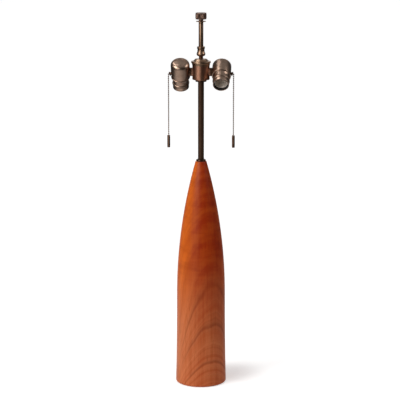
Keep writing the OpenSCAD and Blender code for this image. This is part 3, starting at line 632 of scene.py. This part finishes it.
def makeCap(size, side):
    # a flat disc inside a groove, a round shoulder, a straight side and a skirt with a rolled edge
    wall, end, skirt, top = size["wall"], size["skirtEnd"], size["skirt"], size["top"]
    out, up, radius, taper = size["shoulderOut"], size["shoulderHeight"], size["radius"], size["taper"]
    rolled = skirt - size["rollIn"]
    pen = Pen(0, top).to(size["flat"], top, 0.3)
    pen.to(size["flat"] + size["rimGroove"], top - size["rimDeep"], 0.12).to(out, top).arc(out, up, 90, 14)
    pen.to(radius, taper, 4).to(skirt, end + size["skirtHigh"], 0.3).to(rolled, end + 2 * size["roll"])
    pen.arc(rolled, end + size["roll"], 180, 8).to(skirt - wall, end, 0.1)
    pen.to(skirt - wall, end + size["skirtInside"]).to(radius - wall, taper).to(radius - wall, up)
    pen.arc(out, up, -90, 10).to(0, top - wall)
    keepBeside(pen.turn(128), side, "Cap", "_socket", "_socket_cap", "socketBronze",
               socketPlace(side))


shell = {"lap": 17.95, "lapTop": -9.5, "step": -14.4, "neck": 16.35, "neckHeight": -19.5, "beadOut": 15.5,
         "beadHeight": -28.6, "beadRise": 2.457, "beadSwing": 134, "beadLow": 3.2, "mouth": 17,
         "mouthHeight": -40, "inside": 15.75, "wall": 0.6}


def makeShell(size, side):
    # laps into the cap, narrows to a neck, swells to a bead and ends in a plain mouth
    neck, mouth, inside, up = size["neck"], size["mouth"], size["inside"], size["beadHeight"]
    lap, inner = size["lap"], size["lap"] - size["wall"]
    pen = Pen(inner, size["lapTop"]).to(lap, size["lapTop"]).to(lap, size["step"], 1.0)
    pen.to(neck, size["neckHeight"], 1.6).to(neck, up + size["beadRise"])
    pen.arc(size["beadOut"], up, size["beadSwing"], 14).to(mouth, up - size["beadLow"], 0.25)
    pen.to(mouth, size["mouthHeight"], 0.35)
    pen.to(inside, size["mouthHeight"], 0.35).to(inside, size["neckHeight"]).to(inner, size["step"]).close()
    keepBeside(pen.turn(128), side, "Shell", "_socket", "_socket_shell", "socketBronze",
               socketPlace(side))


screwShell = {"middle": 13.05, "depth": 0.42, "pitch": 3.63, "wavePoints": 10, "low": -33.9,
              "high": -18.2, "rim": 14.2, "rimIn": 0.1, "rimLow": -34.2, "rimHigh": 0.8, "foot": 13.2,
              "floor": 7.1, "floorThick": 0.5, "top": -15.5, "lap": 0.3, "seam": 0.1, "wall": 0.3}


def makeScrewShell(size, side):
    # the thin wall that the bulb screws into, with its rim at the mouth and the cup of its floor
    pitch, middle, high, top, lap = size["pitch"], size["middle"], size["high"], size["top"], size["lap"]
    points = size["wavePoints"]
    wave = [(middle + size["depth"] * cos(2 * pi * point / points), pitch * point / points)
            for point in range(points + 1)]
    wall = cutThread(wave, pitch, size["low"], high, 64)
    bmesh.ops.recalc_face_normals(wall, faces=wall.faces)
    bmesh.ops.solidify(wall, geom=wall.faces[:], thickness=size["wall"])
    rimInside, rimTop = middle - size["rimIn"], size["rimLow"] + size["rimHigh"]
    rim = Pen(rimInside, rimTop).to(rimInside, size["rimLow"], 0.25)
    rim.to(size["rim"], size["rimLow"], 0.3).to(size["rim"], rimTop, 0.2).close()
    foot, inner, under = size["foot"], size["foot"] - size["floorThick"], top - size["floorThick"]
    seam = high - size["seam"]
    floor = Pen(size["floor"], under).to(inner, under, 0.4).to(inner, high + lap, 0.2)
    floor.to(foot - size["seam"], seam).to(foot + lap, seam).to(foot + lap, high + lap, 0.2)
    floor.to(foot, high + 2 * lap).to(foot, top, 0.4).to(size["floor"], top).close()
    keepBeside(join(wall, rim.turn(), floor.turn(64)), side, "ScrewShell", "_socket", "_screw_shell",
               "nickelShell", socketPlace(side))


guide = {"bore": 1.9, "tube": 3.0, "inner": -9.0, "throat": -5.5, "flare": 3.55, "flareAt": -3.9,
         "bell": 4.8, "lip": 0.35, "wall": 0.5, "hollow": 2.9, "hollowAt": -4.0, "mouth": -2.8}


def makeGuide(size, side):
    bore, tube, bell, mouth, throat = size["bore"], size["tube"], size["bell"], size["mouth"], size["throat"]
    pen = Pen(bore, size["inner"]).to(tube, size["inner"], 0.2).to(tube, throat, 0.6)
    pen.to(size["flare"], size["flareAt"], 0.6).to(bell, mouth - size["lip"], 0.15).to(bell, mouth, 0.15)
    pen.to(bell - size["wall"], mouth)
    pen.to(size["hollow"], size["hollowAt"], 0.5).to(bore, throat, 0.4).close()
    keepBeside(pen.turn(48), side, "Guide", "_socket", "_chain_guide", "darkBronze",
               guidePlace(side))


chain = {"bead": 1.6, "pitch": 4.23, "link": 0.42, "hole": 0.62, "neck": 0.15, "count": 31, "start": -1.9}


def makeChain(size, side):
    # hollow beads on short wires, in one turn from the guide down into the pull
    bead, link, hole = size["bead"], size["link"], size["hole"]
    edge = (bead ** 2 - hole ** 2) ** 0.5
    swing = 2 * degrees(atan2(edge, hole))
    pen = Pen(0, size["start"]).to(link, size["start"])
    for number in range(1, size["count"] + 1):
        middle = -number * size["pitch"]
        pen.to(link, middle + edge - size["neck"]).to(hole, middle + edge)
        pen.arc(0, middle, swing, 8).to(link, middle - edge + size["neck"])
    pen.to(0, pen.tip.co.z)
    keepBeside(pen.turn(16), side, "Chain", "_chain", "_hanging_chain", "chainBronze",
               chainPlace(side), crease=60)


pull = {"radius": 3.15, "top": -129.53, "bottom": -156.13, "taper": 0.15, "taperLong": 6, "groove": 2.6,
        "grooveDeep": 0.35, "grooveHalf": 0.4, "floorHalf": 0.2, "crown": 0.9, "bore": 1.9, "mouth": 0.2,
        "mouthDeep": 0.3, "boreDeep": 3.5}


def makePull(size, side):
    # a small cylinder, tapered at its foot, with a groove near the top and a hole for the last bead
    radius, top, low, bore = size["radius"], size["top"], size["bottom"], size["bore"]
    groove, floor, deepAndShaded = top - size["groove"], radius - size["grooveDeep"], top - size["boreDeep"]
    half, floorHalf = size["grooveHalf"], size["floorHalf"]
    pen = Pen(0, low).to(radius - size["taper"], low, 0.7).to(radius, low + size["taperLong"], 2)
    pen.to(radius, groove - half, 0.1).to(floor, groove - floorHalf).to(floor, groove + floorHalf)
    pen.to(radius, groove + half, 0.1).to(radius, top - size["crown"], 0.5)
    pen.to(bore + size["mouth"], top, 0.2).to(bore, top - size["mouthDeep"]).to(bore, deepAndShaded).to(0, deepAndShaded)
    keepBeside(pen.turn(48), side, "Pull", "_chain", "_chain_pull", "chainBronze",
               chainPlace(side))


# The nodes of a socket that stay as they are, by finish
sideFinishes = {
    "darkBronze": ["_swivel_knuckle"], "chainBronze": ["_inner_chain", "_lip_bead"],
    "zincPlate": ["_swivel_nipple", "_lever_pin", "_lever_spring", "_switch_lever"],
    "plainBrass": ["_centre_contact", "_terminal_screws"], "greyPorcelain": ["_socket_core"],
    "blackFibre": ["_socket_liner"], "wireCover": ["_socket_leads"],
}

for side in sides:
    makeCap(cap, side)
    makeShell(shell, side)
    makeScrewShell(screwShell, side)
    makeGuide(guide, side)
    makeChain(chain, side)
    makePull(pull, side)
    repaint(sideFinishes, side)
print("sockets made")

# A pale floor. "near" and "far" lift it to white for the camera, and a smaller lift at a spot behind the
# foot is a painted shadow that deepens the cast one where it is deepest. Metal mirrors only the "sheet" of
# it round the lamp, with a painted shadow darkening it at the right
floorLook = {
    "size": 30, "floor": 0.8, "beyond": 0.08, "sheet": (0.45, 1.1), "mirroredShadow": (-0.1, 0.35), "mirroredShadowDepth": 0.5,
    "shine": 0.25, "shadowSpotLift": (0.3, 0.28, 0.28), "near": (0.53, 0.525, 0.525), "far": (0.8, 0.8, 0.8),
    "shadowSpot": (0.06, 0.07, 0), "shadowSpotReach": (0.01, 0.1), "farReach": (0.6, 2.6),
}


def makeFloor(look):
    mesh = bmesh.new()
    bmesh.ops.create_grid(mesh, x_segments=1, y_segments=1, size=look["size"])
    data = bpy.data.meshes.new("floor")
    mesh.to_mesh(data)
    mesh.free()
    floor = bpy.data.objects.new("floor", data)
    scene.collection.objects.link(floor)
    data.materials.append(makePaleFloor(look))


def makePaleFloor(look):
    finish = Finish("paleFloor", {"Roughness": 1.0, "Specular IOR Level": 0.0})
    away = finish.node("VectorMath", {"operation": "LENGTH"}, {0: finish.point}, "Value")
    camera = finish.node("LightPath", output="Is Camera Ray")
    glossy = finish.node("LightPath", output="Is Glossy Ray")
    across = finish.node("SeparateXYZ", None, {"Vector": finish.point}, "X")
    # painted shadow in what metal mirrors: the floor is darker at the right for glossy rays
    mirroredShadow = glossy * finish.ease(across, *look["mirroredShadow"]) * look["mirroredShadowDepth"]
    sheet = finish.ease(away, *look["sheet"], 1, 0) * (1 - mirroredShadow)
    laid = finish.node("Math", {"operation": "MAXIMUM"}, {0: camera, 1: sheet})
    level = look["beyond"] + laid * (look["floor"] - look["beyond"])
    finish.feed("Base Color", finish.mix(level, (0, 0, 0), (1, 1, 1)))
    # painted shadow: the lift is smaller at a spot behind the foot
    shadowSpot = finish.node("VectorMath", {"operation": "DISTANCE"}, {0: finish.point, 1: look["shadowSpot"]}, "Value")
    lifted = finish.mix(finish.ease(shadowSpot, *look["shadowSpotReach"]), look["shadowSpotLift"], look["near"])
    lifted = finish.mix(finish.ease(away, *look["farReach"]), lifted, look["far"])
    lift = finish.node("Emission", None, {"Color": lifted})
    plain = Value(finish.tree, finish.shader.outputs[0])
    both = finish.node("AddShader", None, {0: plain, 1: lift})
    clear = finish.node("Math", {"operation": "MAXIMUM"}, {0: camera, 1: glossy * sheet * look["shine"]})
    shown = finish.node("MixShader", None, {0: clear, 1: plain, 2: both})
    finish.tree.links.new(shown.socket, finish.tree.nodes["Material Output"].inputs["Surface"])
    return finish.material


# White for the camera and behind the lamp, a soft ceiling, and otherwise a dim room
worldLook = {
    "white": 1.3, "behind": (0, 0.995, 0.1), "behindSeen": (0.9, 0.97),
    "dim": 0.06, "above": 0.28, "aboveSeen": (0.3, 0.9),
}


def makeWorld(look):
    world = bpy.data.worlds.new("studio")
    world.use_nodes = True
    scene.world = world
    board = Board(world.node_tree)
    point = board.node("TexCoord", output="Generated")
    behind = board.node("VectorMath", {"operation": "DOT_PRODUCT"}, {0: point, 1: look["behind"]}, "Value")
    above = board.node("SeparateXYZ", None, {"Vector": point}, "Z")
    camera = board.node("LightPath", output="Is Camera Ray")
    room = look["dim"] + board.ease(above, *look["aboveSeen"]) * look["above"]
    room = room + board.ease(behind, *look["behindSeen"]) * look["white"]
    level = board.node("Math", {"operation": "MAXIMUM"}, {0: camera, 1: room})
    background = board.node("Background", None, {"Color": (1, 1, 1, 1), "Strength": level})
    board.tree.links.new(background.socket, board.tree.nodes["World Output"].inputs["Surface"])


# A wide low lamp in front on the left is what the upright metal mirrors, a stronger one above it lights the
# wood, one overhead marks the sockets, and one at the right fills the shaded side
lamps = {
    "keyLamp": {"spot": (-1.18, -1.86, 0.75), "size": (1.75, 1.4), "power": 18, "tint": (1, 0.99, 0.97)},
    "leftLamp": {"spot": (-1.55, -1.26, 1.75), "size": (1.25, 1.1), "power": 27, "tint": (1, 0.99, 0.98)},
    "topLamp": {"spot": (-0.82, 0.2, 2.3), "size": (0.75, 0.8), "power": 8, "tint": (1, 1, 1)},
    "sideLamp": {"spot": (1.5, -0.2, 1.55), "size": (0.8, 1.2), "power": 10, "tint": (1, 0.98, 0.97)},
}
lampsAim = (0, 0, 0.45)


def makeLamp(name, look):
    data = bpy.data.lights.new(name, "AREA")
    data.shape = "RECTANGLE"
    data.size, data.size_y = look["size"]
    data.energy = look["power"]
    data.color = look["tint"]
    lamp = bpy.data.objects.new(name, data)
    lamp.location = look["spot"]
    lamp.rotation_euler = (Vector(lampsAim) - lamp.location).to_track_quat("-Z", "Y").to_euler()
    scene.collection.objects.link(lamp)


makeFloor(floorLook)
makeWorld(worldLook)
for name, look in lamps.items():
    makeLamp(name, look)
print("studio made")
